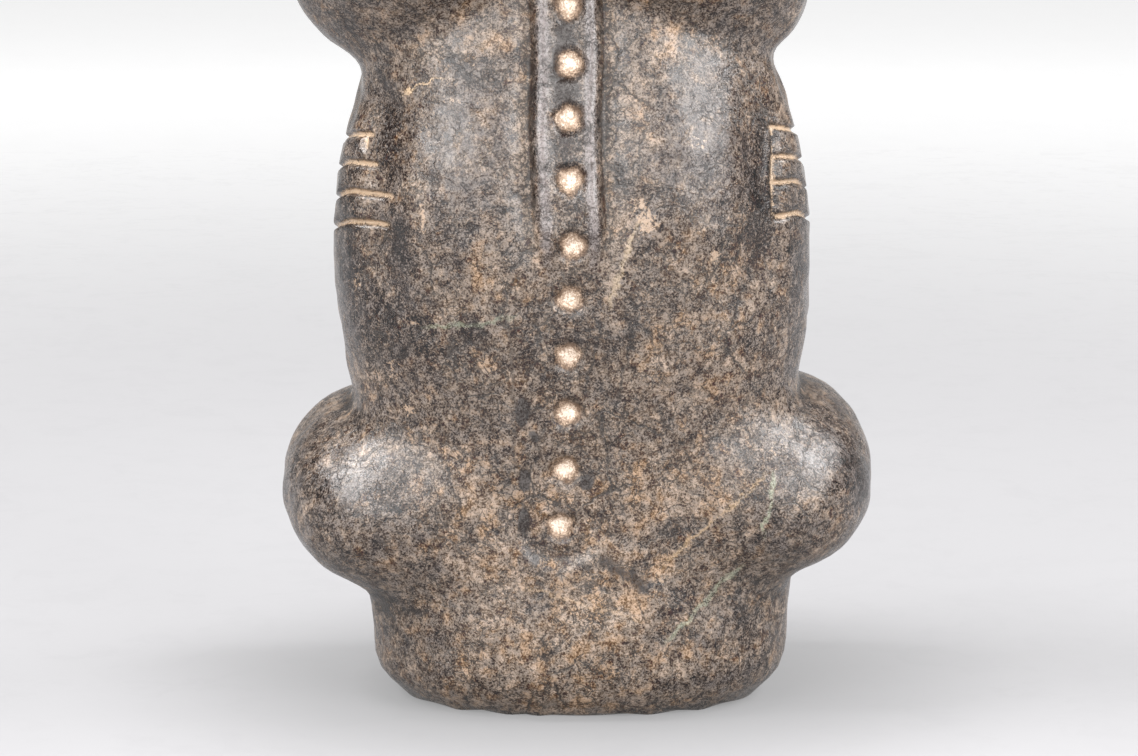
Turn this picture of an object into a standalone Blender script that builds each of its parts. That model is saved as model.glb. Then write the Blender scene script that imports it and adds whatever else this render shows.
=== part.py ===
# A squatting spirit figure carved from one dark stone: a big head, arms held to a barrel
# body, knees drawn up at the sides and a plain base block.
# Sizes are in millimetres and are turned to metres when the mesh is written.
# The figure looks along -Y, its back is at +Y and its underside rests at Z = 0.
# Paired forms are given for the +X side and mirrored.

import math

import bmesh
import bpy
import numpy as np

MM = 0.001
HEIGHT = 250.0
TOP_OF_BACK = 192.0
KNEE_SPAN = 158.0
KNEE_HEIGHT = 59.5
HEAD_WIDTH = 137.5
HEAD_DEPTH = 104.0
HEAD_MIDDLE = 207.0
HEAD_LOW_HALF = 42.5
HEAD_TUCKED_IN = 0.29
HEAD_TUCK_HEIGHTS = (5.0, 32.0)
NAPE_HOLLOW = 0.22
NAPE_HALF_WIDTH = 34.0
NAPE_HEIGHTS = (-8.0, 20.0)

# Height against half width, and height against half depth, of the base block and body
CORE_WIDTHS = ((0, 47), (7, 53.5), (18, 55.5), (32, 57), (58, 58.5), (84, 59.5), (103, 62.3),
               (118, 63), (134, 62.3), (150, 59.2), (161, 55.6), (176, 53.5))
CORE_DEPTHS = ((0, 34.5), (7, 40), (18, 41.5), (38, 40.5), (60, 41), (84, 43.5), (104, 46.5),
               (128, 47.5), (148, 44.5), (164, 40.5), (182, 36.8), (194, 35))
CORE_SQUARENESS = 2.35

# The figure isn't quite true: its middle shifts sideways with height, the head tips a little
# and the +X knee is the lower one
LEAN_AT_FOOT = -2.9
LEAN_AT_BODY = -0.7
LEAN_AT_HEAD = 4.2
HEAD_TIP = 0.02
KNEE_DROP = 4.0

# Each rounded mass: its middle and its half sizes
BELLY = (0, -22, 92), (40, 29, 30)
CHEST = (0, -14, 142), (46, 30, 26)
LAP = (0, -16, 16), (42, 31.5, 46)
THIGH_SIZES = (29, 45, 23.8)
THIGH_SETBACK = 5.0
THIGH_TILT = 9.0
FOOT = (27, -43, 5), (16.5, 17, 11)
HAND = (17, -45, 115), (11.5, 8, 9.5)
EAR_SPOOL = (HEAD_WIDTH / 2 - 1, -2, 205), (5.5, 12, 12)
EAR_TOP = (HEAD_WIDTH / 2 - 4, 1, 214), (5.5, 13, 18)
NOSTRIL_WING = (6, -55, 200), (5, 5, 4.5)

# Each limb: its two ends and the radius at each
SHIN = (51, -38, 46), (31, -42, 14), 14, 11
UPPER_ARM = (45.5, -3, 157), (50, -8, 104), 10.5, 12
FOREARM = (50, -22, 102), (24, -45, 112), 10.5, 8
NOSE = (0, -48, 226), (0, -55, 201), 4.5, 6.5

# How far each form flows into the one beside it
SOFT_JOINT = 8.0
LIMB_JOINT = 4.0
FINE_JOINT = 2.5

# The back: a raised spine between two grooves, with a row of round pits down its middle,
# and a low swelling over each shoulder blade. The spine wanders a little: height, then sideways
SPINE_LINE = ((30, 2.4), (51, 2.3), (66, 1), (81, 0.3), (96, 0.3), (111, -0.3), (125, -1), (141, -0.3),
              (157, 0.2), (172, -0.3), (187, 0.2), (202, 1.2), (217, 2.2), (240, 3))
PANEL_SHIFT = 0.7
RIDGE_SPACING = 12.4
RIDGE_HEIGHT = 1.4
GROOVE_SPACING = 20.4
GROOVE_DEPTH = 2.3
SPINE_FADES_IN = (115.0, 131.0)
SPINE_FADES_OUT = (224.0, 234.0)
CHANNEL_DEPTH = 1.5
PIT_RADIUS = 5.2
PIT_DEPTH = 2.2
PIT_HEIGHTS = (51.4, 66.2, 81.3, 96.4, 111.3, 125, 141.5, 156.9, 170.3, 184.8, 200.0, 215.2)
SHOULDER_BLADE = (31.0, 148.0), (21.0, 40.0)
SHOULDER_BLADE_RISE = 2.0

# Each upper arm: lines cut round it, and the valley that parts it from the back
LOWEST_BAND = 125.7
BAND_STEP = 8.0
BAND_COUNT = 4
BAND_SIDE_SHIFT = 1.1
BAND_HALF_WIDTH = 1.5
BAND_DEPTH = 1.4
VALLEY_MIDDLE = (48.0, 31.0)
VALLEY_DEPTH = 2.2

EYE_SPACING = 49.0
EYE_HEIGHT = 212.0
EYE_RADIUS = 11.0
EYE_DEPTH = 4.4
BROW_RISE = 14.5
MOUTH_HEIGHT = 186.0
MOUTH_HALF_WIDTH = 25.0
LIPS = (0, -46, MOUTH_HEIGHT), (MOUTH_HALF_WIDTH + 5, 12, 10.5)
HEADBAND_HEIGHTS = (232.0, 242.0)
HEADBAND_DOT_STEP = 11.0
SPOOL_PIT_RADIUS = 4.6
FINGER_WIDTH = 4.9
TOE_WIDTH = 6.8
NAVEL_HEIGHT = 88.0
NAVEL_RADIUS = 5.5

# The stone is found along rays from an upright axis between these heights
AXIS_LOW = 30.0
AXIS_HIGH = 222.0
LONGEST_RAY = 112.0
RAY_SAMPLES = 56
RAY_HALVINGS = 14
CELLS_ROUND_A_SIDE = 36
CELLS_UP = 80
LEAST_CARVING = 0.1
MOST_TRIANGLES = 8800
SETTLING_ROUNDS = 6
SETTLING = 0.5
FOLDED_BELOW = 0.6
SLOPE_STEP = 0.05
LONGEST_SETTLING = 0.4
FLAT_WITHIN = 0.08


def curve_through(at, stations):
    """A smooth curve through (position, value) stations."""
    places, values = np.array(stations, float).T
    slopes = np.gradient(values, places)
    i = np.clip(np.searchsorted(places, at) - 1, 0, len(places) - 2)
    step = places[i + 1] - places[i]
    t = np.clip((at - places[i]) / step, 0, 1)
    return (
        (1 + 2 * t) * (1 - t) ** 2 * values[i]
        + t * (1 - t) ** 2 * step * slopes[i]
        + t * t * (3 - 2 * t) * values[i + 1]
        + t * t * (t - 1) * step * slopes[i + 1]
    )


def ease(value, low, high):
    """0 below low, 1 above high, and smooth in between."""
    t = np.clip((value - low) / (high - low), 0, 1)
    return t * t * (3 - 2 * t)


def hump(distance, reach):
    """1 at distance 0, falling smoothly to 0 at reach."""
    return (1 - np.clip(np.abs(distance) / reach, 0, 1) ** 2) ** 2


def to_nearest(value, step):
    """How far each value lies from the nearest whole number of steps."""
    return np.abs((value + step / 2) % step - step / 2)


def join(a, b, blend):
    """Two forms grown together, with a fillet about as wide as blend."""
    t = np.clip(0.5 + 0.5 * (b - a) / blend, 0, 1)
    return b + (a - b) * t - blend * t * (1 - t)


def block(x, y, z, mass, plan_power=2.2, rise_power=2.2):
    """A rounded mass. Powers of 2 make an ellipsoid, and higher ones squarer sides."""
    middle, sizes = mass
    x, y, z = x - middle[0], y - middle[1], z - middle[2]
    plan = (np.abs(x / sizes[0]) ** plan_power + np.abs(y / sizes[1]) ** plan_power) ** (1 / plan_power)
    whole = (plan ** rise_power + np.abs(z / sizes[2]) ** rise_power) ** (1 / rise_power)
    return np.sqrt(x * x + y * y + z * z) * (1 - 1 / np.maximum(whole, 0.05))


def limb(x, y, z, start, end, start_radius, end_radius):
    """A round limb that tapers between two points."""
    along = np.subtract(end, start)
    t = (x - start[0]) * along[0] + (y - start[1]) * along[1] + (z - start[2]) * along[2]
    t = np.clip(t / np.dot(along, along), 0, 1)
    gap = np.sqrt(
        (x - start[0] - t * along[0]) ** 2
        + (y - start[1] - t * along[1]) ** 2
        + (z - start[2] - t * along[2]) ** 2
    )
    return gap - start_radius - t * (end_radius - start_radius)


def centre_line(z):
    """Where the figure's middle plane lies at each height."""
    body = (LEAN_AT_BODY - LEAN_AT_FOOT) * ease(z, 20, 130)
    return LEAN_AT_FOOT + body + (LEAN_AT_HEAD - LEAN_AT_BODY) * ease(z, 158, 190)


def body_and_base(x, y, z):
    half_width = curve_through(z, CORE_WIDTHS)
    half_depth = curve_through(z, CORE_DEPTHS)
    power = CORE_SQUARENESS
    reach = (np.abs(x / half_width) ** power + np.abs(y / half_depth) ** power) ** (1 / power)
    side = np.sqrt(x * x + y * y) * (1 - 1 / np.maximum(reach, 0.05))
    return np.maximum(side, z - TOP_OF_BACK)


def leg(x, y, z, drop):
    """The thigh runs forward and a little upward from hip to knee, and the shin down to the foot."""
    tilt = math.radians(THIGH_TILT)
    back = y + THIGH_SETBACK
    rise = z - KNEE_HEIGHT + drop
    along = back * math.cos(tilt) - rise * math.sin(tilt)
    across = back * math.sin(tilt) + rise * math.cos(tilt)
    out = x - (KNEE_SPAN / 2 - THIGH_SIZES[0])
    thigh = block(out, along, across, ((0, 0, 0), THIGH_SIZES))
    shin = limb(x, y, z, *SHIN)
    foot = block(x, y, z, FOOT)
    return join(join(thigh, shin, LIMB_JOINT), foot, LIMB_JOINT)


def arm(x, y, z):
    upper = limb(x, y, z, *UPPER_ARM)
    forearm = limb(x, y, z, *FOREARM)
    return join(join(upper, forearm, LIMB_JOINT), block(x, y, z, HAND), FINE_JOINT)


def head(x, y, z):
    """Broad and blocky, with the back of it drawn in below its middle and hollowed at the nape."""
    rise = z - HEAD_MIDDLE + HEAD_TIP * x
    width, depth = HEAD_WIDTH / 2, HEAD_DEPTH / 2
    tuck = HEAD_TUCKED_IN * ease(-rise, *HEAD_TUCK_HEIGHTS)
    tuck = tuck + NAPE_HOLLOW * hump(x, NAPE_HALF_WIDTH) * ease(-rise, *NAPE_HEIGHTS)
    y = np.where(y > 0, y / (1 - tuck), y)
    below = block(x, y, rise, ((0, 0, 0), (width, depth, HEAD_LOW_HALF)), 2.5, 3.5)
    above = block(x, y, rise, ((0, 0, 0), (width, depth, HEIGHT - HEAD_MIDDLE)), 2.5, 2.5)
    return np.where(rise < 0, below, above)


def ear(x, y, z):
    return join(block(x, y, z, EAR_SPOOL, 2.6, 2.6), block(x, y, z, EAR_TOP), FINE_JOINT)


def nose_and_lips(x, y, z):
    nose = join(limb(x, y, z, *NOSE), block(x, y, z, NOSTRIL_WING), FINE_JOINT)
    return join(nose, block(x, y, z, LIPS, 2.6, 2.3), LIMB_JOINT)


def shoulder_blades(x, z):
    (across, height), (half_width, half_height) = SHOULDER_BLADE
    reach = np.hypot((x - across) / half_width, (z - height) / half_height)
    return -SHOULDER_BLADE_RISE * hump(reach, 1)


def stone_form(x, y, z):
    """The whole figure's main forms: negative inside the stone, in millimetres."""
    x = x - centre_line(z)
    side = np.abs(x)
    form = body_and_base(x, y, z)
    form = join(form, block(x, y, z, BELLY), SOFT_JOINT)
    form = join(form, block(x, y, z, LAP, 2.6, 2.4), SOFT_JOINT)
    form = join(form, block(x, y, z, CHEST), SOFT_JOINT)
    one_knee_lower = KNEE_DROP * ease(x, -20, 20)
    softer_behind = LIMB_JOINT + 11 * ease(y, 0, 34)
    form = join(form, leg(side, y, z, one_knee_lower), softer_behind)
    form = join(form, arm(side, y, z), LIMB_JOINT)
    form = join(form, head(x, y, z), LIMB_JOINT)
    form = join(form, ear(side, y, z), FINE_JOINT)
    form = join(form, nose_and_lips(side, y, z), FINE_JOINT)
    return form + shoulder_blades(side, z) * ease(y, 8, 16)


def spine(x, z):
    """A flat ridge between two grooves that fades into a shallow channel lower down."""
    x = x - curve_through(z, SPINE_LINE)
    side = np.abs(x - PANEL_SHIFT)
    raised = ease(z, *SPINE_FADES_IN)
    ridge = RIDGE_HEIGHT * hump(side - RIDGE_SPACING / 2, 3.2)
    groove = GROOVE_DEPTH * hump(side - GROOVE_SPACING / 2, 4.4)
    channel = CHANNEL_DEPTH * hump(x, 11.5) * ease(z, 34, 46)
    return raised * (1 - ease(z, *SPINE_FADES_OUT)) * (groove - ridge) + (1 - raised) * channel


def pits(x, z):
    x = x - curve_through(z, SPINE_LINE)
    return sum(PIT_DEPTH * hump(np.hypot(x, z - height), PIT_RADIUS) for height in PIT_HEIGHTS)


def arm_bands(x, y, z):
    side = np.abs(x)
    level = z + BAND_SIDE_SHIFT * np.sign(x)
    lines = 0
    for number in range(BAND_COUNT):
        lines = lines + hump(level - LOWEST_BAND - number * BAND_STEP, BAND_HALF_WIDTH)
    lines = BAND_DEPTH * lines * ease(side, 47, 51) * ease(z, 110, 120)
    along_valley = ease(z, 100, 122) * (1 - ease(z, 158, 170)) * (y > 0)
    across_valley = hump(np.hypot(side - VALLEY_MIDDLE[0], (y - VALLEY_MIDDLE[1]) * 0.5), 9)
    return lines + VALLEY_DEPTH * across_valley * along_valley


def face(x, z):
    """Round eyes in raised rims under one brow, nostrils, and the line between closed lips."""
    side = np.abs(x)
    from_eye = np.hypot(side - EYE_SPACING / 2, z - EYE_HEIGHT)
    socket = EYE_DEPTH * (1 - ease(from_eye, EYE_RADIUS * 0.7, EYE_RADIUS * 1.1))
    eyeball = EYE_DEPTH / 2 * hump(from_eye, EYE_RADIUS * 0.75)
    rim = EYE_DEPTH / 2 * hump(from_eye - EYE_RADIUS * 1.25, 4.0)
    above_brow = z - EYE_HEIGHT - BROW_RISE + side * side / 160
    brow = 2.0 * hump(above_brow, 5.5) * (1 - ease(side, 30, 42))
    nostrils = 2.4 * hump(np.hypot(side - 5.0, z - 197.0), 2.8)
    lip_line = 2.4 * hump(z - MOUTH_HEIGHT, 3.4)
    lip_line = lip_line * (1 - ease(side, MOUTH_HALF_WIDTH - 5, MOUTH_HALF_WIDTH))
    return socket - eyeball - np.maximum(rim, brow) + nostrils + lip_line


def headband(x, z):
    """Two lines round the forehead with a row of dots between them."""
    lines = sum(1.2 * hump(z - height, 1.8) for height in HEADBAND_HEIGHTS)
    middle = sum(HEADBAND_HEIGHTS) / 2
    dots = 1.4 * hump(np.hypot(to_nearest(x, HEADBAND_DOT_STEP), z - middle), 3.2)
    return (lines + dots) * (1 - ease(np.abs(x), 58, 64))


def hands_and_feet(x, z):
    """Lines between the fingers and toes, and the navel."""
    side = np.abs(x)
    on_hand = (1 - ease(side, 22, 26)) * ease(side, 4, 6)
    on_hand = on_hand * ease(z, 104, 107) * (1 - ease(z, 122, 125))
    fingers = 1.2 * hump(to_nearest(z - 107.4, FINGER_WIDTH), 1.3) * on_hand
    on_foot = ease(side, 12, 15) * (1 - ease(side, 40, 43)) * (1 - ease(z, 12, 15))
    toes = 1.4 * hump(to_nearest(side - FOOT[0][0], TOE_WIDTH), 1.5) * on_foot
    navel = 2.8 * hump(np.hypot(x, z - NAVEL_HEIGHT), NAVEL_RADIUS)
    return fingers + toes + navel


def spool_pits(x, y, z):
    from_middle = np.hypot(y - EAR_SPOOL[0][1], z - EAR_SPOOL[0][2])
    return EYE_DEPTH / 2 * hump(from_middle, SPOOL_PIT_RADIUS) * ease(np.abs(x), 62, 66)


def carving(x, y, z):
    """How deep the carved lines and pits go at each place. Raised lines are negative."""
    on_back = ease(y, 8, 16)
    on_front = ease(-y, 8, 16)
    back_work = spine(x, z) + pits(x, z)
    x = x - centre_line(z)
    front_work = face(x, z) + headband(x, z) + hands_and_feet(x, z)
    return on_back * back_work + on_front * front_work + arm_bands(x, y, z) + spool_pits(x, y, z)


def surface(x, y, z):
    return np.maximum(stone_form(x, y, z) + carving(x, y, z), -z)


def rays(cube):
    """Where each point of the start block looks from, and in which direction, to find the stone."""
    edge = np.max(np.abs(cube[:, :2]), axis=1)
    on_side = edge > 1 - 1e-6
    ring = cube[:, :2] / np.maximum(edge, 1e-9)[:, None]
    angle = np.arctan2(np.tan(ring[:, 1] * math.pi / 4), np.tan(ring[:, 0] * math.pi / 4))
    rise = np.where(on_side, 0.0, (1 - edge) * math.pi / 2) * np.sign(cube[:, 2])
    origin = np.zeros_like(cube)
    origin[:, 2] = AXIS_LOW + (AXIS_HIGH - AXIS_LOW) * (cube[:, 2] + 1) / 2
    origin[:, 0] = centre_line(origin[:, 2])
    direction = np.stack(
        (np.cos(rise) * np.cos(angle), np.cos(rise) * np.sin(angle), np.sin(rise)), axis=1
    )
    return origin, direction


def on_stone(cube):
    """The start block's points carried onto the stone's outermost surface."""
    origin, direction = rays(cube)
    reaches = np.linspace(LONGEST_RAY, 2, RAY_SAMPLES)
    outer = np.full(len(cube), LONGEST_RAY)
    inner = np.zeros(len(cube))
    found = np.zeros(len(cube), bool)
    for reach in reaches:
        inside = surface(*(origin + direction * reach).T) < 0
        inner = np.where(inside & ~found, reach, inner)
        found |= inside
        outer = np.where(found, outer, reach)
    for _ in range(RAY_HALVINGS):
        middle = (outer + inner) / 2
        inside = surface(*(origin + direction * middle[:, None]).T) < 0
        inner = np.where(inside, middle, inner)
        outer = np.where(inside, outer, middle)
    return origin + direction * ((outer + inner) / 2)[:, None]


def start_block():
    """A cube whose faces are cut into even cells, with more of them along its height."""
    mesh = bmesh.new()
    bmesh.ops.create_cube(mesh, size=2)
    upright = [e for e in mesh.edges if abs(e.verts[0].co.z - e.verts[1].co.z) > 1]
    level = [e for e in mesh.edges if e not in upright]
    bmesh.ops.subdivide_edges(mesh, edges=level, cuts=CELLS_ROUND_A_SIDE - 1, use_grid_fill=True)
    upright = [e for e in mesh.edges if abs(e.verts[0].co.z - e.verts[1].co.z) > 1]
    bmesh.ops.subdivide_edges(mesh, edges=upright, cuts=CELLS_UP - 1, use_grid_fill=True)
    return mesh


def split_carved_cells(mesh):
    """Cells that the carving crosses are split in four, so that its edges come out clean."""
    places = on_stone(np.array([v.co for v in mesh.verts], float))
    carved = np.abs(carving(*places.T)) > LEAST_CARVING
    mesh.verts.index_update()
    faces = [f for f in mesh.faces if any(carved[v.index] for v in f.verts)]
    edges = {e for f in faces for e in f.edges}
    bmesh.ops.subdivide_edges(mesh, edges=list(edges), cuts=1, use_grid_fill=True)


def lighten(figure):
    """Fewer faces where the stone is plain, and small ones still where it is carved."""
    figure.data.calc_loop_triangles()
    decimate = figure.modifiers.new("fewer faces", "DECIMATE")
    decimate.ratio = MOST_TRIANGLES / len(figure.data.loop_triangles)
    decimate.use_collapse_triangulate = True
    graph = bpy.context.evaluated_depsgraph_get()
    figure.data = bpy.data.meshes.new_from_object(figure.evaluated_get(graph))
    figure.modifiers.clear()


def slope_of(x, y, z):
    there = surface(x, y, z)
    return np.stack(
        [
            surface(x + SLOPE_STEP, y, z) - there,
            surface(x, y + SLOPE_STEP, z) - there,
            surface(x, y, z + SLOPE_STEP) - there,
        ],
        axis=1,
    ) / SLOPE_STEP


def folded_faces(mesh):
    middles = np.array([f.calc_center_median() for f in mesh.faces], float) / MM
    outward = slope_of(*middles.T)
    outward /= np.linalg.norm(outward, axis=1)[:, None]
    normals = np.array([f.normal for f in mesh.faces], float)
    folded = np.sum(normals * outward, axis=1) < FOLDED_BELOW
    on_top = middles[:, 2] > FLAT_WITHIN
    return [f for f, wrong in zip(mesh.faces, folded & on_top) if wrong]


def settle(data):
    """Opens small folds: their corners are evened out and laid on the stone again."""
    mesh = bmesh.new()
    mesh.from_mesh(data)
    for _ in range(SETTLING_ROUNDS):
        mesh.normal_update()
        verts = list({v for f in folded_faces(mesh) for v in f.verts})
        if not verts:
            break
        bmesh.ops.smooth_vert(
            mesh, verts=verts, factor=SETTLING, use_axis_x=True, use_axis_y=True, use_axis_z=True
        )
        places = np.array([v.co for v in verts], float) / MM
        slope = slope_of(*places.T)
        steepness = np.linalg.norm(slope, axis=1)
        off = np.clip(surface(*places.T) / steepness, -LONGEST_SETTLING, LONGEST_SETTLING)
        for vert, place in zip(verts, places - slope * (off / steepness)[:, None]):
            vert.co = place * MM
    mesh.to_mesh(data)
    mesh.free()


def flatten_underside(data):
    """The resting face, made one true plane at Z = 0."""
    mesh = bmesh.new()
    mesh.from_mesh(data)
    for vert in mesh.verts:
        if vert.co.z < FLAT_WITHIN * MM:
            vert.co.z = 0
    resting = [f for f in mesh.faces if all(v.co.z == 0 for v in f.verts)]
    bmesh.ops.dissolve_faces(mesh, faces=resting)
    mesh.to_mesh(data)
    mesh.free()


def carve_figure():
    mesh = start_block()
    split_carved_cells(mesh)
    cube = np.array([v.co for v in mesh.verts], float)
    for vert, place in zip(mesh.verts, on_stone(cube)):
        vert.co = place * MM
    bmesh.ops.triangulate(mesh, faces=mesh.faces, quad_method="BEAUTY", ngon_method="BEAUTY")
    bmesh.ops.recalc_face_normals(mesh, faces=mesh.faces)
    data = bpy.data.meshes.new("carved stone")
    mesh.to_mesh(data)
    mesh.free()
    figure = bpy.data.objects.new("zemi_figure", data)
    bpy.context.scene.collection.objects.link(figure)
    lighten(figure)
    settle(figure.data)
    flatten_underside(figure.data)
    figure.data.shade_smooth()
    return figure


def dark_stone():
    material = bpy.data.materials.new("polished dark stone")
    material.use_nodes = True
    shader = material.node_tree.nodes["Principled BSDF"]
    shader.inputs["Base Color"].default_value = (0.085, 0.068, 0.052, 1)
    shader.inputs["Roughness"].default_value = 0.45
    shader.inputs["Metallic"].default_value = 0
    return material


def main():
    for thing in list(bpy.data.objects):
        bpy.data.objects.remove(thing)
    figure = carve_figure()
    figure.data.materials.append(dark_stone())


main()
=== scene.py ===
import math

import bmesh
import bpy
import numpy as np
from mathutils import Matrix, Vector, noise


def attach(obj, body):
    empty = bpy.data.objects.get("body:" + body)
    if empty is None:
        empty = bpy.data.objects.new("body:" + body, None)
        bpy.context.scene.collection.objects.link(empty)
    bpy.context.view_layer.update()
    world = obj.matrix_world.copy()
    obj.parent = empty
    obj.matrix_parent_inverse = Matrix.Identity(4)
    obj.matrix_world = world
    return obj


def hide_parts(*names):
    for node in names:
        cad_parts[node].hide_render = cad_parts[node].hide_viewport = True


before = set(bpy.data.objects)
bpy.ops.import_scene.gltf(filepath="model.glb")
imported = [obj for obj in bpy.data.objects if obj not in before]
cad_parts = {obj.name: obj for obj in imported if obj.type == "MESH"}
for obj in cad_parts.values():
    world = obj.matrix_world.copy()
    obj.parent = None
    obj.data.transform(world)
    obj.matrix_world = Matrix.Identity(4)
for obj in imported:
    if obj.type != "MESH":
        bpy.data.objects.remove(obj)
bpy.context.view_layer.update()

mm = 0.001

# A squatting spirit figure carved from one dark stone. It looks along -Y, so the camera sees its back.
# Lengths are in millimetres until the mesh is written. Paired forms are given for the +X side.

bodyShape = {
    "widths": ((0, 47), (7, 53.5), (18, 55.5), (32, 57), (58, 58.5), (84, 59.5), (103, 62.3),
               (118, 63), (134, 62.3), (150, 59.2), (161, 55.6), (176, 53.5)),  # height, half width
    "depths": ((0, 34.5), (7, 40), (18, 41.5), (38, 40.5), (60, 41), (84, 43.5), (104, 46.5),
               (128, 47.5), (148, 44.5), (164, 40.5), (182, 36.8), (194, 35)),  # height, half depth
    "squareness": 2.35,
    "top": 192,
    "blades": ((31, 148), (21, 40), 2),        # the swelling over each shoulder blade: middle, half sizes, rise
    "belly": ((0, -22, 92), (40, 29, 30)),     # middle, half sizes
    "chest": ((0, -14, 142), (46, 30, 26)),
    "lap": ((0, -16, 16), (42, 31.5, 46)),
    "leanAtFoot": -2.9,                        # the figure isn't quite true
    "leanAtBody": -0.7,
    "leanAtHead": 4.2,
}

legShape = {
    "kneeSpan": 158,
    "kneeHeight": 59.5,
    "kneeDrop": 4,                             # the +X knee is the lower one
    "thigh": (29, 45, 23.8),
    "setback": 5,
    "tilt": 9,
    "shin": ((51, -38, 46), (31, -42, 14), 14, 11),
    "foot": ((27, -43, 5), (16.5, 17, 11)),
    "toeWidth": 6.8,
}

armShape = {
    "upper": ((45.5, -3, 157), (50, -8, 104), 10.5, 12),
    "fore": ((50, -22, 102), (24, -45, 112), 10.5, 8),
    "hand": ((17, -45, 115), (11.5, 8, 9.5)),
    "fingerWidth": 4.9,
}

headShape = {
    "top": 250,
    "width": 137.5,
    "depth": 104,
    "middle": 207,
    "lowHalf": 42.5,
    "tuckedIn": 0.29,                          # the back of the head is drawn in below its middle
    "tuckHeights": (5, 32),
    "nape": (0.22, 34, (-8, 20)),              # and hollowed at the nape: how much, half width, how far down
    "tip": 0.02,
    "earSpool": ((67.75, -2, 205), (5.5, 12, 12)),
    "spoolPit": (4.6, 2.2),                    # radius, depth
    "earTop": ((64.75, 1, 214), (5.5, 13, 18)),
    "nose": ((0, -48, 226), (0, -55, 201), 4.5, 6.5),
    "nostrilWing": ((6, -55, 200), (5, 5, 4.5)),
    "lips": ((0, -46, 186), (30, 12, 10.5)),
}

softJoint, limbJoint, fineJoint = 8, 4, 2.5    # how far each form flows into the one beside it


def curveThrough(at, stations):
    # a smooth curve through (position, value) stations
    places, values = np.array(stations, float).T
    slopes = np.gradient(values, places)
    i = np.clip(np.searchsorted(places, at) - 1, 0, len(places) - 2)
    step = places[i + 1] - places[i]
    t = np.clip((at - places[i]) / step, 0, 1)
    return (
        (1 + 2 * t) * (1 - t) ** 2 * values[i]
        + t * (1 - t) ** 2 * step * slopes[i]
        + t * t * (3 - 2 * t) * values[i + 1]
        + t * t * (t - 1) * step * slopes[i + 1]
    )


def ease(value, low, high):
    t = np.clip((value - low) / (high - low), 0, 1)
    return t * t * (3 - 2 * t)


def between(value, low, high, soft):
    return ease(value, low - soft, low + soft) * (1 - ease(value, high - soft, high + soft))


def hump(distance, reach):
    return (1 - np.clip(np.abs(distance) / reach, 0, 1) ** 2) ** 2


def toNearest(value, step):
    return np.abs((value + step / 2) % step - step / 2)


def join(a, b, blend):
    t = np.clip(0.5 + 0.5 * (b - a) / blend, 0, 1)
    return b + (a - b) * t - blend * t * (1 - t)


def block(x, y, z, mass, planPower=2.2, risePower=2.2):
    # a rounded mass: powers of 2 make an ellipsoid, higher ones squarer sides
    middle, sizes = mass
    x, y, z = x - middle[0], y - middle[1], z - middle[2]
    plan = (np.abs(x / sizes[0]) ** planPower + np.abs(y / sizes[1]) ** planPower) ** (1 / planPower)
    whole = (plan ** risePower + np.abs(z / sizes[2]) ** risePower) ** (1 / risePower)
    return np.sqrt(x * x + y * y + z * z) * (1 - 1 / np.maximum(whole, 0.05))


def limb(x, y, z, start, end, startRadius, endRadius):
    along = np.subtract(end, start)
    t = (x - start[0]) * along[0] + (y - start[1]) * along[1] + (z - start[2]) * along[2]
    t = np.clip(t / np.dot(along, along), 0, 1)
    gap = np.sqrt(
        (x - start[0] - t * along[0]) ** 2
        + (y - start[1] - t * along[1]) ** 2
        + (z - start[2] - t * along[2]) ** 2
    )
    return gap - startRadius - t * (endRadius - startRadius)


def middleLine(z):
    foot, body, top = (bodyShape[key] for key in ("leanAtFoot", "leanAtBody", "leanAtHead"))
    return foot + (body - foot) * ease(z, 20, 130) + (top - body) * ease(z, 158, 190)


def bodyForm(x, y, z):
    power = bodyShape["squareness"]
    halfWidth = curveThrough(z, bodyShape["widths"])
    halfDepth = curveThrough(z, bodyShape["depths"])
    reach = (np.abs(x / halfWidth) ** power + np.abs(y / halfDepth) ** power) ** (1 / power)
    side = np.sqrt(x * x + y * y) * (1 - 1 / np.maximum(reach, 0.05))
    form = np.maximum(side, z - bodyShape["top"])
    form = join(form, block(x, y, z, bodyShape["belly"]), softJoint)
    form = join(form, block(x, y, z, bodyShape["lap"], 2.6, 2.4), softJoint)
    return join(form, block(x, y, z, bodyShape["chest"]), softJoint)


def legForm(x, y, z, drop):
    tilt = math.radians(legShape["tilt"])
    back = y + legShape["setback"]
    rise = z - legShape["kneeHeight"] + drop
    along = back * math.cos(tilt) - rise * math.sin(tilt)
    across = back * math.sin(tilt) + rise * math.cos(tilt)
    out = x - (legShape["kneeSpan"] / 2 - legShape["thigh"][0])
    thigh = block(out, along, across, ((0, 0, 0), legShape["thigh"]))
    leg = join(thigh, limb(x, y, z, *legShape["shin"]), limbJoint)
    return join(leg, block(x, y, z, legShape["foot"]), limbJoint)


def armForm(x, y, z):
    arm = join(limb(x, y, z, *armShape["upper"]), limb(x, y, z, *armShape["fore"]), limbJoint)
    return join(arm, block(x, y, z, armShape["hand"]), fineJoint)


def headForm(x, y, z):
    rise = z - headShape["middle"] + headShape["tip"] * x
    width, depth = headShape["width"] / 2, headShape["depth"] / 2
    hollow, halfWidth, down = headShape["nape"]
    tuck = headShape["tuckedIn"] * ease(-rise, *headShape["tuckHeights"])
    tuck = tuck + hollow * hump(x, halfWidth) * ease(-rise, *down)
    y = np.where(y > 0, y / (1 - tuck), y)
    below = block(x, y, rise, ((0, 0, 0), (width, depth, headShape["lowHalf"])), 2.5, 3.5)
    above = block(x, y, rise, ((0, 0, 0), (width, depth, headShape["top"] - headShape["middle"])), 2.5, 2.5)
    return np.where(rise < 0, below, above)


def faceForm(x, y, z):
    nose = join(limb(x, y, z, *headShape["nose"]), block(x, y, z, headShape["nostrilWing"]), fineJoint)
    return join(nose, block(x, y, z, headShape["lips"], 2.6, 2.3), limbJoint)


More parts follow.
